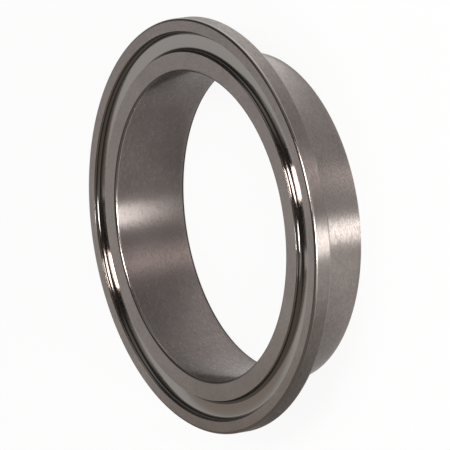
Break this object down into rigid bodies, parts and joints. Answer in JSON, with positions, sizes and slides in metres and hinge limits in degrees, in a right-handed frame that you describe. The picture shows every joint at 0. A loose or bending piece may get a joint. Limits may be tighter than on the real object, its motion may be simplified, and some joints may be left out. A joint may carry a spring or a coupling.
{
  "type": "sanitary clamp ferrule",
  "caption": "Short weld ferrule for 2 inch sanitary tube: a turned ring with a grooved clamp flange on one end and a thin tube end to weld on the other.",
  "frame": {"origin": "centre of the weld end, on the tube axis, with the ferrule standing on its weld end", "axes": "+Z along the tube axis, from the weld end to the flange face; round, so +X and +Y are free"},
  "size_m": [0.064, 0.064, 0.0127],
  "materials": {
    "stainless": "turned and satin brushed stainless steel, with a polished gasket groove"
  },
  "bodies": {
    "root": {"ferrule": "stainless"}
  },
  "joints": []
}
